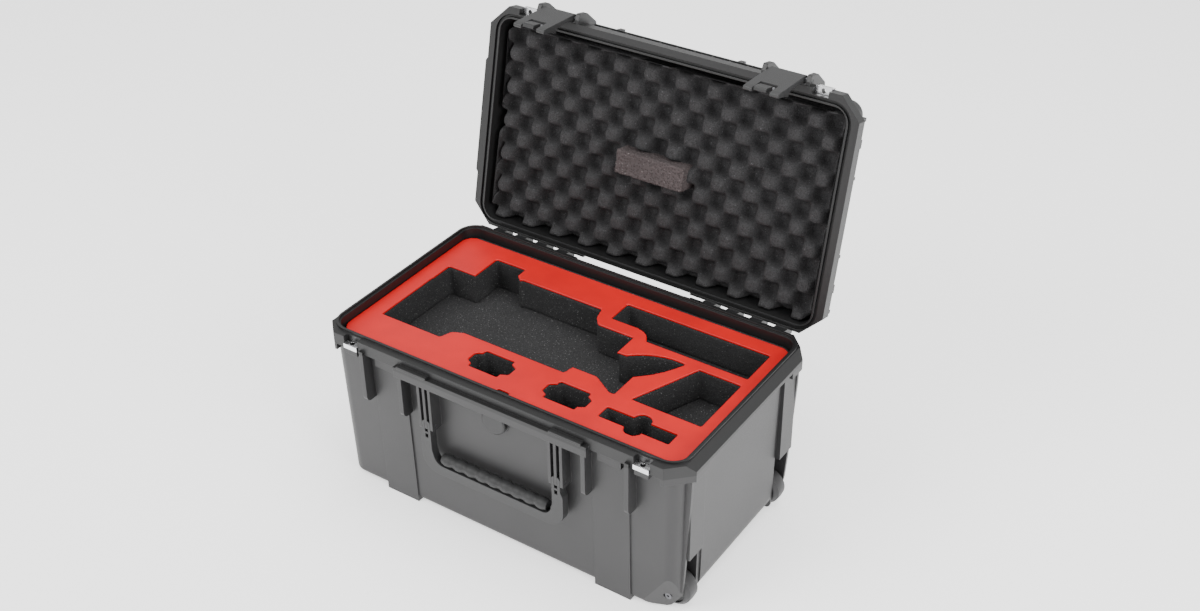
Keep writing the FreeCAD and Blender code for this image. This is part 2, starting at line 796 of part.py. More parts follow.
def lobed_pocket(x, y):
    """A small block pocket with a finger lobe on each side."""
    half, deep, nose, reach = 24.5, 20.5, 8, 34
    right = [(x + half, y - 13), (x + 29, y - 11), (x + reach, y - nose, 3), (x + reach, y + nose, 3),
             (x + 29, y + 11), (x + half, y + 13)]
    left = [(2 * x - p[0], p[1], *p[2:]) for p in reversed(right)]
    return outline((x - half, y - deep), (x + half, y - deep), *right, (x + half, y + deep),
                   (x - half, y + deep), *left)


def slot_pocket(x, y):
    """A long narrow pocket crossed by a rounded slot."""
    half, deep, lobe, reach = 53.5, 11.5, 12.9, 23
    return outline(
        (x - half, y - deep), (x - lobe, y - deep), (x - lobe, y - reach, 12.5), (x + lobe, y - reach, 12.5),
        (x + lobe, y - deep), (x + half, y - deep), (x + half, y + deep), (x + lobe, y + deep),
        (x + lobe, y + reach, 12.5), (x - lobe, y + reach, 12.5), (x - lobe, y + deep), (x - half, y + deep))


POCKETS = [MAIN_POCKET, TOP_POCKET, SIDE_POCKET, lobed_pocket(-50, -99), lobed_pocket(75, -101),
           slot_pocket(186.5, -103)]
sheet_low = sheet_top - sheet_thick
pocket_floor = sheet_top - pocket_depth
middle_low = pocket_floor - middle_layer
vent_notch_half = vent_radius + 2.5
vent_notch_deep = 10


def foam_layer(label, low, high, cuts):
    body = new_body(label)
    pad(body, "Z", foam_plan(low), low, high)
    for shapes, z in cuts:
        pocket(body, "Z", shapes, z[0], z[1])
    node(label, body)


def vent_notch(z):
    y = -foam_half(z)[1]
    return rectangle((-vent_notch_half, vent_notch_half), (y - 5, y + vent_notch_deep))


vent_low = vent_z - vent_notch_half
vent_high = vent_z + vent_notch_half
well_cuts = [rectangle((well_x - wall - soft_gap, bay_x + 20), outward(side, axle_inner - soft_gap, bay_y + 5))
             for side in SIDES]
end_cut = rectangle((end_round_x - wall - soft_gap, bay_x + 20), (-axle_inner - 5, axle_inner + 5))
finger_cut = rectangle((-bay_x - 10, -end_x + finger_depth + wall + soft_gap),
                       (-finger_half - wall - soft_gap, finger_half + wall + soft_gap))
sleeve_cuts = [rectangle((-bay_x - 10, -end_x + sleeve_length + 12),
                         centred(side * tube_y, sleeve_width + 2 * soft_gap)) for side in SIDES]
foam_layer("foam_floor_layer", bay_low, middle_low, [
    (well_cuts, (bay_low - 1, well_top + wall + soft_gap)),
    ([end_cut], (bay_low - 1, end_round_z + wall + soft_gap)),
    ([finger_cut], (bay_low - 1, finger_high + wall + soft_gap)),
    (sleeve_cuts, (bay_low - 1, bay_low + sleeve_height + soft_gap))])
foam_layer("foam_middle_layer", middle_low, pocket_floor, [
    ([vent_notch(middle_low)], (vent_low, pocket_floor + 1))])
foam_layer("foam_top_layer", pocket_floor, sheet_low, [
    (POCKETS, (pocket_floor - 1, sheet_low + 1)),
    ([vent_notch(pocket_floor)], (pocket_floor - 1, vent_high))])

red_sheet = new_body("red_top_sheet")
sheet_x = foam_half(pocket_floor)[0]
sheet_back = sheet_width / 2
pad(red_sheet, "Z", rectangle((-sheet_x, sheet_x), (-sheet_back, sheet_back), bay_corner), sheet_low, sheet_top)
pocket(red_sheet, "Z", POCKETS + [rectangle((-10, 10), (-sheet_back - 4, -sheet_back + 8))],
       sheet_low - 1, sheet_top + 1)
node("red_top_sheet", red_sheet)


# ---------------------------------------------------------------- base hardware

def hinge_pins():
    pins = []
    for side in SIDES:
        start = side * hinge_start if side > 0 else side * hinge_start - knuckle_pitch * 8
        pins.append(rod("X", (start, hinge_y, hinge_z), hinge_pin_radius, knuckle_pitch * 8))
    return fuse(*pins)


node("hinge_pins", hinge_pins())


def padlock_plates(top, lip_down):
    """Bent steel plates at the two front corners, each with a hole for a padlock."""
    plates = []
    for side in SIDES:
        x = centred(side * plate_x, plate_width)
        z = (top - plate_thick, top) if lip_down else (top, top + plate_thick)
        lip = (top - 7, top) if lip_down else (top, top + 7)
        front = -front_y - 1
        bent = fuse(box(x, (front - plate_thick, -padlock_y + 4.5), z), box(x, (front - plate_thick, front), lip))
        plates.append(cut(bent, rod("Z", (side * plate_x, -padlock_y, top - 10), padlock_radius, 20)))
    return fuse(*plates)


node("base_padlock_plates", padlock_plates(parting - plate_drop, True))


def round_piece(label, points, place, turn_to):
    """A revolved piece drawn along +X and then turned to lie along an axis."""
    body = new_body(label)
    turned(body, points)
    body.Placement.Rotation = turn_to
    stand(body, *place)
    return node(label, body)


ALONG_BACK = Rotation(Vector(0, 0, 1), 90)
ALONG_FRONT = Rotation(Vector(0, 0, 1), -90)
vent_face = wall_y(vent_z) + 1
vent_inner = vent_face - wall - 3
seal_thick = 1.5
round_piece("vent_seal", rectangle((0, seal_thick), (vent_stem + running_gap, vent_radius - 2)),
            (0, -vent_face, vent_z), ALONG_FRONT)
round_piece("vent_body", outline((-14, 0), (seal_thick + 2, 0), (seal_thick + 2, vent_radius - 1),
                                 (seal_thick, vent_radius - 1), (seal_thick, vent_stem), (-14, vent_stem)),
            (0, -vent_face, vent_z), ALONG_FRONT)
round_piece("vent_cap", outline((seal_thick + 2, 0), (seal_thick + 5.5, 0), (seal_thick + 5.5, vent_radius - 2),
                                (seal_thick + 4, vent_radius), (seal_thick + 2, vent_radius)),
            (0, -vent_face, vent_z), ALONG_FRONT)
round_piece("vent_nut", rectangle((0, 5), (vent_stem + running_gap, 14)), (0, -vent_inner, vent_z), ALONG_BACK)


def handle_pins():
    reach = prong_thick + lug_gap * 2 + lug_thick * 1.5
    return fuse(*[rod("X", (side * handle_x - reach + 0.2, -handle_y, handle_z), handle_pin_radius,
                      reach * 2 - 0.4) for side in SIDES])


node("handle_pins", handle_pins())


# ---------------------------------------------------------------- wheels

def wheel(side, name):
    y = side * wheel_y
    half = wheel_width / 2
    hub = wheel_radius - tyre_depth
    bush = axle_radius + running_gap + bushing_wall
    lip = 3
    place = (wheel_x, y, wheel_z)
    round_piece(f"wheel_tyre_{name}", outline(
        (-half, hub), (half, hub), (half, wheel_radius - 6, 4), Point(half - 5, wheel_radius - 1, 0, 60),
        Point(-half + 5, wheel_radius - 1, 0, 0), (-half, wheel_radius - 6, 4)), place, ALONG_BACK)
    round_piece(f"wheel_hub_{name}", outline(
        (-half + 0.5, bush), (half - 0.5, bush), (half - 0.5, bush + 5), (lip, bush + 7), (lip, hub - 5),
        (half - 2, hub - 4), (half - 2, hub), (-half + 2, hub), (-half + 2, hub - 4), (-lip, hub - 5),
        (-lip, bush + 7), (-half + 0.5, bush + 5)), place, ALONG_BACK)
    round_piece(f"wheel_bushing_{name}", rectangle((-half - 0.5, half + 0.5), (axle_radius + running_gap, bush)),
                place, ALONG_BACK)


def axles():
    """Shoulder bolts from the outer wall, through the wheel, to a nut inside the bay."""
    bolts, nuts = [], []
    for side in SIDES:
        outer = axle_seat
        inner = axle_inner - nut_thick - 2
        low = -outer if side < 0 else inner
        head = -outer - 2.5 if side < 0 else outer
        bolt = fuse(rod("Y", (wheel_x, low, wheel_z), axle_radius, outer - inner),
                    rod("Y", (wheel_x, head, wheel_z), axle_radius + 1.6, 2.5))
        socket = rod("Y", (wheel_x, -outer - 3 if side < 0 else outer + 1, wheel_z), 1.8, 2)
        bolts.append(cut(bolt, socket))
        seat = -axle_inner if side < 0 else axle_inner - nut_thick
        nuts.append(cut(rod("Y", (wheel_x, seat, wheel_z), nut_radius, nut_thick),
                        rod("Y", (wheel_x, seat - 1, wheel_z), axle_radius + running_gap, nut_thick + 2)))
    node("wheel_axles", fuse(*bolts))
    node("axle_nuts", fuse(*nuts))


for side, name in zip(SIDES, ("front", "back")):
    wheel(side, name)
axles()


# ---------------------------------------------------------------- front handle

def handle_frame():
    """A U-shaped frame whose two forks straddle the middle lugs."""
    fork = lug_thick / 2 + lug_gap + prong_thick
    inner_x = handle_x - fork
    outer_x = handle_x + fork
    low = handle_z - handle_reach
    top = handle_z + 8
    bottom_bar = low + 15
    right = [(handle_wide, low, 26), (handle_wide, handle_z - 24, 8), (outer_x, handle_z - 16, 8),
             (outer_x, top, 5), (inner_x, top, 5), (inner_x, handle_z - 40, 14), (inner_x - 6, bottom_bar, 16)]
    points = right + [(-x, z, r) for x, z, r in reversed(right)]
    body = new_body("handle_frame")
    back = -handle_y + handle_thick / 2
    front = -handle_y - handle_thick / 2
    pad(body, "Y", outline(*points), front, back)
    slots = []
    for side in SIDES:
        x = centred(side * handle_x, lug_thick + 2 * lug_gap)
        slots.append(rectangle(x, (handle_z - 11, top + 2)))
        slots.append(rectangle(x, (handle_z - 21, handle_z - 14.5)))
    pocket(body, "Y", slots, front - 1, back + 1)
    hole = [((-handle_y, handle_z), handle_pin_radius + running_gap)]
    pocket(body, "X", hole, -handle_wide - 5, handle_wide + 5)
    return node("handle_frame", body)


def handle_grip(frame):
    """A soft round grip along the frame's lower bar, shaped around it."""
    z = handle_z - handle_reach + 22
    half = handle_x - 19
    bar = rod("X", (-half, -handle_y + 3, z), grip_radius, half * 2)
    node("handle_grip", cut(bar, frame))


handle_grip(handle_frame())


# ---------------------------------------------------------------- pull handle

def tube_box(width, height, wall_thick, x, side):
    """A rectangular tube along X, centred in its sleeve."""
    y = side * tube_y
    z = bay_low + sleeve_height / 2
    outer = box(x, centred(y, width), centred(z, height))
    inner = box((x[0] - 1, x[1] + 1), centred(y, width - wall_thick * 2), centred(z, height - wall_thick * 2))
    return cut(outer, inner)


stage_shrink = (tube_wall + tube_gap) * 2
mid_width = sleeve_width - stage_shrink
mid_height = sleeve_height - stage_shrink
slim_width = mid_width - stage_shrink
slim_height = mid_height - stage_shrink
sleeve_start = -end_x
grip_face = -end_x - 5.5
bezel_thick = 3


def pull_handle():
    """Two nested pairs of tubes that slide out of the end opposite the wheels."""
    sleeve_x = (sleeve_start, sleeve_start + sleeve_length)
    stage_x = (sleeve_start - bezel_thick, sleeve_start + sleeve_length - stage_overlap)
    slim_x = (grip_face - 4, sleeve_start + sleeve_length - stage_overlap * 2)
    node("pull_sleeves", fuse(*[tube_box(sleeve_width, sleeve_height, tube_wall, sleeve_x, s) for s in SIDES]))
    node("pull_mid_tubes", fuse(*[tube_box(mid_width, mid_height, tube_wall, stage_x, s) for s in SIDES]))
    node("pull_slim_tubes", fuse(*[tube_box(slim_width, slim_height, tube_wall, slim_x, s) for s in SIDES]))

    low = bay_low + sleeve_height / 2 - pull_grip_height / 2
    grip_z = (low, low + pull_grip_height)
    bezel_x = (-end_x - bezel_thick - 1, -end_x - 1)
    plate = box(bezel_x, (-bezel_half, bezel_half), (tub_low + 1, finger_high + 8))
    tools = [box((bezel_x[0] - 1, bezel_x[1] + 1), (-finger_half, finger_half), (bay_low, finger_high))]
    screws = []
    for s in SIDES:
        tools.append(box((bezel_x[0] - 1, bezel_x[1] + 1), centred(s * tube_y, mid_width + 2 * tube_gap),
                         centred(bay_low + sleeve_height / 2, mid_height + 2 * tube_gap)))
    for y, z in bezel_screw_places():
        tools.append(rod("X", (bezel_x[0] - 1, y, z), screw_radius + running_gap, bezel_thick + 2))
        screws.append(rod("X", (bezel_x[0] - 0.5, y, z), screw_radius, bezel_thick + wall + 1))
        screws.append(rod("X", (bezel_x[0] - 2, y, z), screw_radius * 2.2, 2))
    node("pull_bezel", cut(plate, *tools))
    node("bezel_screws", fuse(*screws))

    button_half = 14
    button_x = (grip_face - pull_grip_thick + 3, grip_face - 3)
    grip = rounded(box((grip_face - pull_grip_thick, grip_face), (-pull_grip_half, pull_grip_half), grip_z),
                   as_size(4), lambda a, b: max(a.x, b.x) < grip_face.value - 1)
    slots = [box((grip_face - 4, grip_face + 1), centred(s * tube_y, slim_width),
                 centred(bay_low + sleeve_height / 2, slim_height)) for s in SIDES]
    well = box(button_x, (-button_half, button_half), (grip_z[1] - 8, grip_z[1] + 1))
    node("pull_grip", cut(grip, well, *slots))
    gap = as_size(0.3)
    node("pull_button", box((button_x[0] + gap, button_x[1] - gap), (-button_half + gap, button_half - gap),
                            (grip_z[1] - 5, grip_z[1] + 2.5)))


pull_handle()


# ---------------------------------------------------------------- lid

gasket_groove = tongue_rise - rim_gap + gasket_thick + 0.6


def lid_front():
    """Ears beside the latches, padlock bosses, nubs and a ribbed channel on the lid's front."""
    pieces = [box((-140, 140), (-front_y + 2, -tub_y + 3), (lid_low + 34, lid_low + 37))]
    for index in range(-5, 6):
        pieces.append(box(centred(index * 28, 2.5), (-front_y + 3, -tub_y + 3), (lid_low + 16, lid_low + 36)))
    for side in SIDES:
        pieces.append(box(centred(side * 98, 8), (-front_y + 1, -tub_y + 3), (lid_low + 32, lid_low + 44)))
        for x in (fin_inner, fin_outer):
            ear = outline((-tub_y + 5, lid_low + 1), (-front_y - 5, lid_low + 1),
                          (-latch_pivot_y - 7.5, lid_low + 4, 2), (-latch_pivot_y - 7.5, lid_low + 22, 8),
                          (-front_y + 2, lid_high - 3, 6), (-tub_y + 5, lid_high - 3))
            pieces.append(prism("X", ear, side * x - fin_thick / 2, side * x + fin_thick / 2))
        pieces.append(box(centred(side * plate_x, plate_width - 2), (-front_y - 1, -tub_y + 4),
                          (parting + plate_drop + plate_thick, lid_low + lid_skirt + 4)))
    return pieces


def lid_ends():
    """Upright ribs on the lid's two end walls and a raised boss on its left rim."""
    pieces = []
    for side in SIDES:
        for y, thick in ((138, 5), (104, 12), (56, 4)):
            for front in SIDES:
                pieces.append(box(centred(side * (tub_x + 1), 10), centred(front * y, thick),
                                  (lid_low + lid_skirt - 1, lid_high - 12)))
    pieces.append(prism("Z", outline(
        (-(rim_x + end_boss_proud), -end_boss_reach), (-rim_x + 1, -end_boss_reach - 6),
        (-rim_x + 1, end_boss_reach + 6), (-(rim_x + end_boss_proud), end_boss_reach)),
        lid_low, lid_low + lid_skirt))
    return pieces


def lid_shell():
    top_half = (tub_x - lid_draft, tub_y - lid_draft)
    dome = drafted_block((tub_x, tub_y), top_half, (lid_low, lid_high), "high")
    rim = prism("Z", rim_outline(), lid_low, lid_low + lid_skirt)
    arm = ((back_y - 0.4, hinge_y + knuckle_radius), (hinge_z, lid_low + lid_skirt - 2))
    solid = fuse(dome, rim, *lid_front(), *lid_ends(), *hinge_leaf(1, arm))
    hollow = drafted_block((bay_x, bay_y), (bay_x - lid_draft, bay_y - lid_draft),
                           (lid_low - 6, lid_high - wall))
    groove = ring(tongue_inset + tongue_width + 0.8, tongue_inset - 0.8, (lid_low - 1, lid_low + gasket_groove))
    tools = [hollow, groove, *hinge_bore()]
    tools.append(box((-back_notch_half, back_notch_half), (back_y - back_notch_deep + 0.7, back_y + 4),
                     (lid_low - 1, lid_low + lid_skirt + 1)))
    for side in SIDES:
        tools.append(box(centred(side * band_x, band_width + 4), (-tub_y, tub_y), (lid_high - 2, lid_high + 2)))
        tools.append(box(centred(side * plate_x, plate_width + 1), (-front_y - 2, -padlock_y + 5),
                         (lid_low - 1, parting + plate_drop + plate_thick)))
        tools.append(rod("Z", (side * plate_x, -padlock_y, parting), padlock_radius + 0.4, 40))
        start = side * latch_x - latch_width / 2 - fin_thick - 4
        tools.append(rod("X", (start, -latch_pivot_y, latch_pivot_z), latch_pin_radius + running_gap,
                         latch_width + fin_thick * 2 + 8))
    return cut(solid, *tools)


node("lid_shell", on_lid(lid_shell()))

groove_top = lid_low + gasket_groove
node("lid_gasket", on_lid(ring(tongue_inset + tongue_width + 0.5, tongue_inset - 0.5,
                               (groove_top - gasket_thick, groove_top - 0.1))))

foam_back = lid_high - wall - soft_gap
foam_face = foam_back - lid_foam_thick
block_x = centred(0, foam_block_length)
block_y = centred(4, foam_block_width)
lid_x = bay_x - lid_draft - soft_gap
lid_y = bay_y - lid_draft - soft_gap
lid_foam = new_body("lid_foam")
pad(lid_foam, "Z", rectangle((-lid_x, lid_x), (-lid_y, lid_y), bay_corner), foam_face, foam_back)
pocket(lid_foam, "Z", [rectangle(block_x, block_y)], foam_face - 1, foam_back + 1)
node("lid_foam", on_lid(lid_foam))
node("lid_foam_block", on_lid(box((block_x[0] + soft_gap, block_x[1] - soft_gap),
                                  (block_y[0] + soft_gap, block_y[1] - soft_gap),
                                  (foam_face - foam_block_rise, foam_back))))
node("lid_padlock_plates", on_lid(padlock_plates(parting + plate_drop, False)))


# ---------------------------------------------------------------- latches

pivot_y = -latch_pivot_y
end_y = pivot_y + latch_rake
end_z = latch_pivot_z - latch_drop
trigger_z = end_z + trigger_drop + 2
trigger_y = end_y - 2
window_half = trigger_width / 2 + 4


def latch(side, name):
    """The latch lever: a hub on the lid, a nose that hooks under the catch, a window for its trigger."""
    hub = latch_hub
    nose_z = catch_low - 0.5
    profile = outline(
        (pivot_y - hub, latch_pivot_z + hub, hub - 1), (end_y - latch_thick / 2, end_z + 8, 30),
        (end_y - latch_thick / 2 + 2, end_z, 2), (end_y + latch_thick / 2, end_z, 2),
        (end_y + latch_thick / 2, nose_z - 9), (-catch_front + 4, nose_z - 3), (-catch_front + 4, nose_z),
        (end_y + latch_thick / 2 - 3, nose_z), (pivot_y + hub - 1.5, nose_z + 20),
        (pivot_y + hub - 1.5, latch_pivot_z - hub), (pivot_y + hub, latch_pivot_z - 3),
        (pivot_y + hub, latch_pivot_z + hub, hub - 0.1))
    middle = side * latch_x
    body = new_body(f"latch_{name}")
    low, high = centred(middle, latch_width)
    pad(body, "X", profile[::-1], low, high)
    pin_hole = ((pivot_y, latch_pivot_z), latch_pin_radius + running_gap)
    trigger_hole = ((trigger_y, trigger_z), trigger_pin_radius + running_gap)
    pocket(body, "X", [pin_hole], low - 1, high + 1)
    pocket(body, "Y", [rectangle(centred(middle, window_half * 2), (end_z - 2, trigger_z + 5.5))],
           end_y - latch_thick - 4, end_y + latch_thick + 4)
    pocket(body, "X", [trigger_hole], middle - window_half - 5, middle + window_half + 5)
    node(f"latch_{name}", on_lid(body))


def trigger(side, name):
    """The sprung trigger in the latch's window, with its pin and coil spring."""
    middle = side * latch_x - 2
    body = new_body(f"trigger_{name}")
    low, high = centred(middle, trigger_width)
    profile = outline(
        (trigger_y - 3, trigger_z + 3, 2.9), (trigger_y - 3, end_z + 4), (trigger_y - 1, end_z + 1),
        (trigger_y + 2.5, end_z + 1), (trigger_y + 2.5, trigger_z - 8), (trigger_y + 3, trigger_z - 5),
        (trigger_y + 3, trigger_z + 3, 2.9))
    pad(body, "X", profile[::-1], low, high)
    pocket(body, "X", [((trigger_y, trigger_z), trigger_pin_radius + running_gap)], low - 1, high + 1)
    node(f"trigger_{name}", on_lid(body))
    pin_half = window_half + 4.5
    middle_pin = side * latch_x - pin_half
    node(f"trigger_pin_{name}", on_lid(rod("X", (middle_pin, trigger_y, trigger_z), trigger_pin_radius,
                                           pin_half * 2)))
    coil_x = high + 0.5
    coil = cut(rod("X", (coil_x, trigger_y, trigger_z), 2.6, 3.5),
               rod("X", (coil_x - 1, trigger_y, trigger_z), trigger_pin_radius + 0.1, 5.5))
    node(f"trigger_spring_{name}", on_lid(coil))


def latch_pins():
    length = fin_outer - fin_inner + fin_thick - 1
    middle = (fin_outer + fin_inner) / 2
    return fuse(*[rod("X", (side * middle - length / 2, pivot_y, latch_pivot_z), latch_pin_radius, length)
                  for side in SIDES])


for side, name in zip(SIDES, ("left", "right")):
    latch(side, name)
    trigger(side, name)
node("latch_pins", on_lid(latch_pins()))


# ---------------------------------------------------------------- export

doc.recompute()
for thing in doc.Objects:
    if "Invalid" in thing.State or "Error" in thing.State:
        raise RuntimeError(f"{thing.Name} ({thing.Label}) failed: {thing.State}")
os.makedirs("parts", exist_ok=True)
for piece in NODES:
    if piece.Shape.isNull() or not piece.Shape.isValid():
        raise RuntimeError(f"{piece.Label} has no valid shape")
    piece.Shape.exportStep(f"parts/{piece.Label}.step")
    bounds = piece.Shape.BoundBox
    print(f"{piece.Label:24s} {len(piece.Shape.Solids)} solids {piece.Shape.Volume:12.1f} mm3  "
          f"x {bounds.XMin:7.1f} {bounds.XMax:7.1f}  y {bounds.YMin:7.1f} {bounds.YMax:7.1f}  "
          f"z {bounds.ZMin:7.1f} {bounds.ZMax:7.1f}")
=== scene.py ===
import json
import math

import bmesh
import bpy
import numpy as np
from mathutils import Matrix, Vector, noise


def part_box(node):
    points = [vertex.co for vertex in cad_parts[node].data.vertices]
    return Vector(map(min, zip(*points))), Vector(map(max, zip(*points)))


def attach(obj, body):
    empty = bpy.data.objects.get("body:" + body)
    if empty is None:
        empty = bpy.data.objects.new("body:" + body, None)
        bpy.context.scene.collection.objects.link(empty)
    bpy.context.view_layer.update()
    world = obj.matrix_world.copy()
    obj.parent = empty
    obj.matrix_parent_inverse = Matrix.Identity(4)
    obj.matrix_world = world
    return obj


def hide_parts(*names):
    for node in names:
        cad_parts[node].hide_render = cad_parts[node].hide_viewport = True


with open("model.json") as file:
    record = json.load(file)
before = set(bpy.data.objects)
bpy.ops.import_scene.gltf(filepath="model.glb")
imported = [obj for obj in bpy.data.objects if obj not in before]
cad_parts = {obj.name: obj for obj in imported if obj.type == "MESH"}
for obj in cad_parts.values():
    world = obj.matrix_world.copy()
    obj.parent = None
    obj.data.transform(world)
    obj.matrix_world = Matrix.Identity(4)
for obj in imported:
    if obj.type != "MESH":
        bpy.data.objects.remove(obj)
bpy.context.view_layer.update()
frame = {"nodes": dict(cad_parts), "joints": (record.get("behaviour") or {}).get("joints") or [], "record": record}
NODES = frame["nodes"]
MM = 0.001


# ---------------------------------------------------------------- places taken from the frame

LID_HINGE = next(j for j in frame["joints"] if j["name"] == "lid_hinge")
PIVOT = Vector(LID_HINGE["pos_m"])
OPEN = (Matrix.Translation(PIVOT)
        @ Matrix.Rotation(-math.radians(LID_HINGE["range_deg"][1]), 4, Vector(LID_HINGE["axis"]))
        @ Matrix.Translation(-PIVOT))
SHUT = OPEN.inverted()


def shut_box(node):
    """Lowest and highest corner of a lid node, measured as if the lid were shut."""
    points = np.array([SHUT @ v.co for v in NODES[node].data.vertices])
    return Vector(points.min(0)), Vector(points.max(0))


# ---------------------------------------------------------------- material nodes

class Shader:
    """A small wrapper that adds and joins the nodes of one material."""

    def __init__(self, name):
        self.material = bpy.data.materials.new(name)
        self.material.use_nodes = True
        self.tree = self.material.node_tree
        self.surface = self.tree.nodes["Principled BSDF"]
        self.place = self.add("ShaderNodeTexCoord").outputs["Object"]

    def add(self, kind, **inputs):
        node = self.tree.nodes.new(kind)
        for name, value in inputs.items():
            self.plug(node.inputs[name.replace("_", " ")], value)
        return node

    def plug(self, socket, value):
        if isinstance(value, bpy.types.NodeSocket):
            self.tree.links.new(value, socket)
        else:
            socket.default_value = value

    def set(self, **inputs):
        for name, value in inputs.items():
            self.plug(self.surface.inputs[name.replace("_", " ")], value)

    def noise(self, scale, detail=3.0, roughness=0.55):
        return self.add("ShaderNodeTexNoise", Vector=self.place, Scale=scale, Detail=detail,
                        Roughness=roughness).outputs["Fac"]

    def cells(self, scale):
        return self.add("ShaderNodeTexVoronoi", Vector=self.place, Scale=scale).outputs["Distance"]

    def between(self, value, low, high, to_low=0.0, to_high=1.0):
        node = self.add("ShaderNodeMapRange", Value=value)
        span = {"From Min": low, "From Max": high, "To Min": to_low, "To Max": to_high}
        for key, number in span.items():
            node.inputs[key].default_value = number
        return node.outputs["Result"]

    def mix(self, factor, first, second):
        node = self.add("ShaderNodeMix")
        node.data_type = "RGBA"
        self.plug(node.inputs[0], factor)
        self.plug(node.inputs[6], first)
        self.plug(node.inputs[7], second)
        return node.outputs[2]

    def maths(self, operation, first, second=0.0):
        node = self.add("ShaderNodeMath")
        node.operation = operation
        self.plug(node.inputs[0], first)
        self.plug(node.inputs[1], second)
        return node.outputs[0]

    def bump(self, height, distance, strength=1.0, normal=None):
        node = self.add("ShaderNodeBump", Height=height, Distance=distance, Strength=strength)
        if normal:
            self.plug(node.inputs["Normal"], normal)
        return node.outputs["Normal"]

    def soft_edges(self, radius):
        node = self.add("ShaderNodeBevel", Radius=radius)
        node.samples = 4
        return node.outputs["Normal"]


def grey(value, warm=0.0):
    return (value * (1 + warm), value, value * (1 + 0.5 * abs(warm) + 0.02), 1.0)


def shade(colour, factor):
    return tuple(c * factor for c in colour[:3]) + (1.0,)


def plastic(name, colour, darker, roughness, grain=1.0, edge=0.9 * MM):
    """Moulded plastic: a fine spark-eroded grain, faint flow clouds and softened corners."""
    s = Shader(name)
    clouds = s.noise(9.0, 4.0)
    fine = s.noise(1500.0, 2.0)
    body = s.mix(s.between(clouds, 0.35, 0.7), colour, darker)
    s.set(Base_Color=body, Roughness=s.between(fine, 0.3, 0.7, roughness - 0.05, roughness + 0.08))
    edges = s.soft_edges(edge)
    s.set(Normal=s.bump(fine, 0.25 * MM * grain, 0.35, edges))
    s.surface.inputs["Specular IOR Level"].default_value = 0.45
    return s


RIM_BLUR = 0.4 * MM


def zoned_plastic(name, colour, darker, rim_colour, level, roughness):
    """Shell plastic whose rim, above a level, is a deeper black."""
    s = plastic(name, colour, darker, roughness)
    height = s.add("ShaderNodeSeparateXYZ", Vector=s.place).outputs["Z"]
    zone = s.between(height, level - RIM_BLUR, level + RIM_BLUR)
    old = s.surface.inputs["Base Color"].links[0].from_socket
    s.set(Base_Color=s.mix(zone, old, rim_colour))
    return s


def foam(name, colour, glint_colour, pore, depth, glint_strength):
    """Open-cell foam: pores darkened with painted shade, cell walls and specks painted lighter as painted
    highlight where they catch the light, and no gloss.
    """
    s = Shader(name)
    pores = s.cells(pore)
    grains = s.noise(pore * 1.7, 2.0, 0.7)
    glint_specks = s.between(s.noise(pore * 0.9, 1.0, 0.5), 0.66, 0.78)
    clouds = s.noise(14.0, 3.0)
    # painted shade: the pores are darkened in the colour itself
    pore_shade = shade(colour, 0.55)
    body = s.mix(s.between(clouds, 0.3, 0.75), colour, shade(colour, 0.82))
    body = s.mix(s.between(pores, 0.15, 0.6), pore_shade, body)
    # painted highlight: light specks stand in for cell walls catching the light
    body = s.mix(s.maths("MULTIPLY", glint_specks, glint_strength), body, glint_colour)
    s.set(Base_Color=body, Roughness=0.95)
    relief = s.maths("ADD", pores, s.maths("MULTIPLY", grains, 0.7))
    s.set(Normal=s.bump(relief, depth, 0.8))
    s.surface.inputs["Specular IOR Level"].default_value = 0.15
    return s


def red_foam(name):
    """The red skin of the insert: closed cells with a soft sheen."""
    s = Shader(name)
    fine = s.noise(900.0, 3.0, 0.6)
    clouds = s.noise(18.0, 2.0)
    body = s.mix(s.between(clouds, 0.3, 0.7), (0.56, 0.0, 0.001, 1), (0.47, 0.0, 0.001, 1))
    body = s.mix(s.between(fine, 0.62, 0.8, 0.0, 0.3), body, (0.72, 0.02, 0.015, 1))
    s.set(Base_Color=body, Roughness=s.between(fine, 0.3, 0.7, 0.38, 0.52),
          Normal=s.bump(fine, 0.3 * MM, 0.3))
    s.surface.inputs["Specular IOR Level"].default_value = 0.45
    s.surface.inputs["Sheen Weight"].default_value = 0.08
    s.surface.inputs["Sheen Roughness"].default_value = 0.4
    s.surface.inputs["Sheen Tint"].default_value = (1.0, 0.3, 0.25, 1.0)
    return s


def metal(name, colour, roughness, stretch=(1.0, 1.0, 1.0), scale=900.0):
    """Brushed or plated metal: fine lines along one axis and small dull marks."""
    s = Shader(name)
    mapping = s.add("ShaderNodeMapping", Vector=s.place)
    mapping.inputs["Scale"].default_value = stretch
    lines = s.add("ShaderNodeTexNoise", Vector=mapping.outputs["Vector"], Scale=scale,
                  Detail=3.0).outputs["Fac"]
    marks = s.noise(60.0, 3.0)
    s.set(Base_Color=s.mix(s.between(marks, 0.4, 0.75), colour, shade(colour, 0.8)),
          Roughness=s.between(lines, 0.3, 0.7, roughness - 0.06, roughness + 0.12),
          Normal=s.bump(lines, 0.05 * MM, 0.3, s.soft_edges(0.4 * MM)))
    s.surface.inputs["Metallic"].default_value = 1.0
    return s


def rubber(name, colour, roughness, grain=700.0):
    s = Shader(name)
    fine = s.noise(grain, 3.0)
    clouds = s.noise(25.0, 2.0)
    s.set(Base_Color=s.mix(clouds, colour, shade(colour, 0.75)),
          Roughness=s.between(fine, 0.3, 0.7, roughness - 0.08, roughness + 0.08),
          Normal=s.bump(fine, 0.12 * MM, 0.4, s.soft_edges(0.6 * MM)))
    s.surface.inputs["Specular IOR Level"].default_value = 0.35
    return s


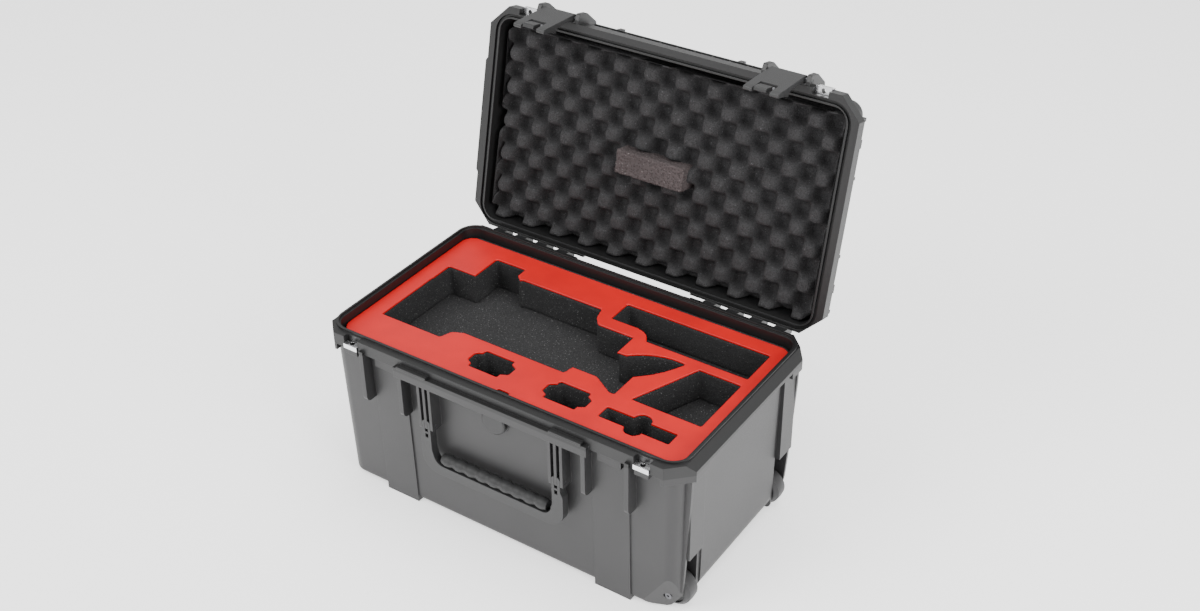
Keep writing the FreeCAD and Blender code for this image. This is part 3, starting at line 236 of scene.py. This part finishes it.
BLACK = grey(0.008)
RIM_LEVEL = 246.2 * MM
MATERIALS = {
    "shell": zoned_plastic("shell_grey", grey(0.026, 0.02), grey(0.021, 0.02), BLACK, RIM_LEVEL,
                           0.42),
    "lid": plastic("shell_black", grey(0.012), grey(0.009), 0.4),
    "latch_plastic": plastic("latch_grey", grey(0.024), grey(0.02), 0.4),
    "trim_plastic": plastic("trim_black", grey(0.02), grey(0.014), 0.42),
    "foam": foam("insert_foam", grey(0.034), (0.26, 0.26, 0.26, 1),
                 pore=560.0, depth=1.0 * MM, glint_strength=0.55),
    "lid_foam": foam("lid_foam", grey(0.04, 0.02), (0.16, 0.16, 0.17, 1),
                     pore=480.0, depth=0.9 * MM, glint_strength=0.35),
    "coarse_foam": foam("block_foam", (0.075, 0.062, 0.062, 1), (0.2, 0.18, 0.18, 1),
                        pore=330.0, depth=1.6 * MM, glint_strength=0.6),
    "red_foam": red_foam("red_foam"),
    "seal": rubber("seal_rubber", grey(0.009), 0.45),
    "grip_rubber": rubber("grip_rubber", grey(0.03), 0.55),
    "tyre": rubber("tyre_rubber", grey(0.04, 0.01), 0.42, 420.0),
    "steel": metal("pin_steel", (0.16, 0.16, 0.17, 1), 0.38),
    "bright_steel": metal("plate_steel", (0.86, 0.86, 0.88, 1), 0.2, (0.15, 1, 1)),
    "tube_aluminium": metal("tube_aluminium", (0.62, 0.63, 0.65, 1), 0.32, (0.05, 1, 1)),
    "bush_plastic": plastic("bush_plastic", (0.4, 0.4, 0.38, 1), (0.35, 0.35, 0.33, 1), 0.4),
}


def finish_with(thing, material):
    thing.data.materials.clear()
    thing.data.materials.append(MATERIALS[material].material)


SLOT_OF = {part["node"]: part["material_slot"] for part in frame["record"]["subparts"]}
BODIES = frame["record"]["behaviour"]["bodies"]
BODY_OF = {node: body for body, nodes in BODIES.items() for node in nodes}
for name, thing in NODES.items():
    finish_with(thing, "lid" if name == "lid_shell" else SLOT_OF[name])


# ---------------------------------------------------------------- mesh helpers

# noise_vector starts from the clock unless a seed is set, which would move the foam at each run.
NOISE_SEED = 1
noise.seed_set(NOISE_SEED)


def new_piece(name, mesh, body, slot, material, *replaced, smooth=True):
    piece = bpy.data.objects.new(name, mesh)
    bpy.context.scene.collection.objects.link(piece)
    finish_with(piece, material)
    if smooth:
        mesh.polygons.foreach_set("use_smooth", [True] * len(mesh.polygons))
    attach(piece, body)
    if replaced:
        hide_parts(*replaced)
    return piece


def apply_modifiers(piece):
    """Turn a piece's modifiers into plain mesh."""
    graph = bpy.context.evaluated_depsgraph_get()
    mesh = bpy.data.meshes.new_from_object(piece.evaluated_get(graph))
    piece.modifiers.clear()
    old = piece.data
    piece.data = mesh
    bpy.data.meshes.remove(old)


def softened(node, name, voxel, wobble, wavelength, material):
    """A foam copy of a CAD node: remeshed so that its edges round off, then gently uneven."""
    mesh = NODES[node].data.copy()
    piece = new_piece(name, mesh, BODY_OF[node], SLOT_OF[node], material, node)
    remesh = piece.modifiers.new("cells", "REMESH")
    remesh.mode = "VOXEL"
    remesh.voxel_size = voxel
    apply_modifiers(piece)
    low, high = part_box(node)
    for vertex in piece.data.vertices:
        at = vertex.co
        push = noise.noise_vector(at / wavelength) * wobble
        at = at + push
        vertex.co = Vector([min(max(at[i], low[i] + 0.0001), high[i] - 0.0001) for i in range(3)])
    piece.data.polygons.foreach_set("use_smooth", [True] * len(piece.data.polygons))
    finish_with(piece, material)
    return piece


# ---------------------------------------------------------------- lid foam

EGG_PITCH = 51 * MM
EGG_DEPTH = 25 * MM
GRID = 3 * MM
EGG_STEEPNESS = 1.7
FOAM_MARGIN = 1.5 * MM
FOAM_CORNER = 20 * MM
FOAM_SKIN = 0.5 * MM
TORN_WIDTH = 12 * MM
TORN_LEAST = 3 * MM
TORN_MORE = 4 * MM


def egg_depth(x, y):
    """How far the convoluted face lies behind the peaks at a place on the lid."""
    wave = math.cos(2 * math.pi * x / EGG_PITCH) * math.cos(2 * math.pi * y / EGG_PITCH)
    steep = max(-1.0, min(1.0, wave * EGG_STEEPNESS))
    steep = steep * (1.5 - 0.5 * steep * steep)
    return EGG_DEPTH * (0.5 - 0.5 * steep)


def torn_edge(x, y, low):
    """Move a point inwards where the lid foam's left and lower edges were cut by hand."""
    left = max(0.0, 1 - (x - low.x) / TORN_WIDTH)
    near = max(0.0, 1 - (y - low.y) / TORN_WIDTH)
    wander = noise.noise(Vector((x, y, 0.3)) * 28) + 0.6
    inwards = TORN_LEAST + TORN_MORE * wander
    return x + left * inwards, y + near * inwards


def build_egg_crate():
    low, high = shut_box("lid_foam")
    margin = FOAM_MARGIN
    columns = round((high.x - low.x) / GRID)
    rows = round((high.y - low.y) / GRID)
    corner = FOAM_CORNER
    work = bmesh.new()
    grid = {}
    for i in range(columns + 1):
        for j in range(rows + 1):
            x = low.x + margin + (high.x - low.x - 2 * margin) * i / columns
            y = low.y + margin + (high.y - low.y - 2 * margin) * j / rows
            ragged = noise.noise(Vector((x, y, 0)) * 60) * 1.2 * MM
            z = low.z + FOAM_SKIN + egg_depth(x, y) + ragged
            inset_x = max(abs(x) - (high.x - margin - corner), 0)
            inset_y = max(abs(y) - (high.y - margin - corner), 0)
            reach = math.hypot(inset_x, inset_y)
            if reach > corner:
                x = math.copysign(high.x - margin - corner + inset_x * corner / reach, x)
                y = math.copysign(high.y - margin - corner + inset_y * corner / reach, y)
            x, y = torn_edge(x, y, low)
            grid[i, j] = work.verts.new((x, y, max(z, low.z)))
    for i in range(columns):
        for j in range(rows):
            work.faces.new((grid[i, j], grid[i, j + 1], grid[i + 1, j + 1], grid[i + 1, j]))
    edge = [e for e in work.edges if e.is_boundary]
    skirt = bmesh.ops.extrude_edge_only(work, edges=edge)
    rim = [v for v in skirt["geom"] if isinstance(v, bmesh.types.BMVert)]
    for vertex in rim:
        vertex.co.z = high.z - FOAM_SKIN
    bmesh.ops.contextual_create(work, geom=[e for e in work.edges if e.is_boundary])
    bmesh.ops.recalc_face_normals(work, faces=work.faces)
    work.transform(OPEN)
    mesh = bpy.data.meshes.new("lid_egg_crate")
    work.to_mesh(mesh)
    work.free()
    return new_piece("lid_egg_crate", mesh, "lid", "foam", "lid_foam", "lid_foam")


lid_foam = build_egg_crate()
block = softened("lid_foam_block", "lid_block_foam", 1.6 * MM, 0.9 * MM, 4 * MM, "coarse_foam")


# ---------------------------------------------------------------- base foam

FOAM_VOXELS = {"foam_top_layer": 2.5 * MM, "foam_middle_layer": 4 * MM, "foam_floor_layer": 5 * MM}
for node, voxel in FOAM_VOXELS.items():
    layer = softened(node, node.replace("foam", "insert"), voxel, 0.35 * MM, 7 * MM, "foam")


red_sheet = softened("red_top_sheet", "red_sheet", 1.5 * MM, 0.15 * MM, 30 * MM, "red_foam")


# ---------------------------------------------------------------- rubber grip

GRIP_RIBS = 9
GROOVE_DEPTH = 1.5 * MM


def ribbed_grip():
    """The handle's rubber sleeve, with round ribs between shallow grooves."""
    low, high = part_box("handle_grip")
    middle = [(low[i] + high[i]) / 2 for i in range(3)]
    pitch = (high[0] - low[0]) / GRIP_RIBS
    grip = softened("handle_grip", "ribbed_grip", 0.9 * MM, 0.0, 5 * MM, "grip_rubber")
    for vertex in grip.data.vertices:
        groove = abs(math.cos(math.pi * (vertex.co.x - low[0]) / pitch)) ** 3 * GROOVE_DEPTH
        for i in (1, 2):
            half = (high[i] - low[i]) / 2
            vertex.co[i] -= (vertex.co[i] - middle[i]) / half * groove


ribbed_grip()


# ---------------------------------------------------------------- stage, lights, camera

CAMERA_AT = Vector((1.022, -1.415, 1.489))
CAMERA_YAW = math.radians(34.2)
CAMERA_PITCH = math.radians(34.1)
CAMERA_ROLL = math.radians(-0.7)
CAMERA_LENS = 46.65
CAMERA_SENSOR = 36


def build_camera():
    flat = math.cos(CAMERA_PITCH)
    back = Vector((math.sin(CAMERA_YAW) * flat, -math.cos(CAMERA_YAW) * flat, math.sin(CAMERA_PITCH)))
    level = Vector((0, 0, 1)).cross(back).normalized()
    up = back.cross(level)
    right = level * math.cos(CAMERA_ROLL) + up * math.sin(CAMERA_ROLL)
    top = up * math.cos(CAMERA_ROLL) - level * math.sin(CAMERA_ROLL)
    data = bpy.data.cameras.new("camera")
    data.lens = CAMERA_LENS
    data.sensor_width = CAMERA_SENSOR
    data.clip_end = 50
    camera = bpy.data.objects.new("camera", data)
    bpy.context.scene.collection.objects.link(camera)
    turn = Matrix((right, top, back)).transposed().to_4x4()
    camera.matrix_world = Matrix.Translation(CAMERA_AT) @ turn
    bpy.context.scene.camera = camera


def area_light(name, at, target, size, power, colour=(1, 1, 1)):
    data = bpy.data.lights.new(name, "AREA")
    data.shape = "RECTANGLE"
    data.size, data.size_y = size
    data.energy = power
    data.color = colour
    light = bpy.data.objects.new(name, data)
    bpy.context.scene.collection.objects.link(light)
    light.location = at
    light.rotation_euler = (Vector(target) - Vector(at)).to_track_quat("-Z", "Y").to_euler()


FLOOR_GLOW = 0.9
FLOOR_HALF = 12
WORLD_LIGHT = 0.95


def build_stage():
    mesh = bpy.data.meshes.new("floor")
    corners = [(x * FLOOR_HALF, y * FLOOR_HALF, 0) for x, y in ((-1, -1), (1, -1), (1, 1), (-1, 1))]
    mesh.from_pydata(corners, [], [(0, 1, 2, 3)])
    floor = bpy.data.objects.new("floor", mesh)
    bpy.context.scene.collection.objects.link(floor)
    s = Shader("floor_paper")
    s.set(Base_Color=s.mix(s.noise(3.0), (0.94, 0.94, 0.94, 1), (0.92, 0.92, 0.92, 1)),
          Roughness=0.8)
    s.surface.inputs["Emission Color"].default_value = (1, 1, 1, 1)
    s.surface.inputs["Emission Strength"].default_value = FLOOR_GLOW
    mesh.materials.append(s.material)
    world = bpy.data.worlds.new("studio")
    bpy.context.scene.world = world
    world.use_nodes = True
    world.node_tree.nodes["Background"].inputs["Color"].default_value = (1, 1, 1, 1)
    world.node_tree.nodes["Background"].inputs["Strength"].default_value = WORLD_LIGHT
    area_light("key", (-1.6, -2.4, 2.6), (0, 0, 0.2), (2.2, 1.6), 90)
    area_light("side", (2.8, -0.6, 1.6), (0.1, 0, 0.15), (1.6, 1.6), 70)
    area_light("top", (0.2, 0.4, 3.2), (0, 0, 0.2), (2.5, 2.0), 60)


build_camera()
build_stage()
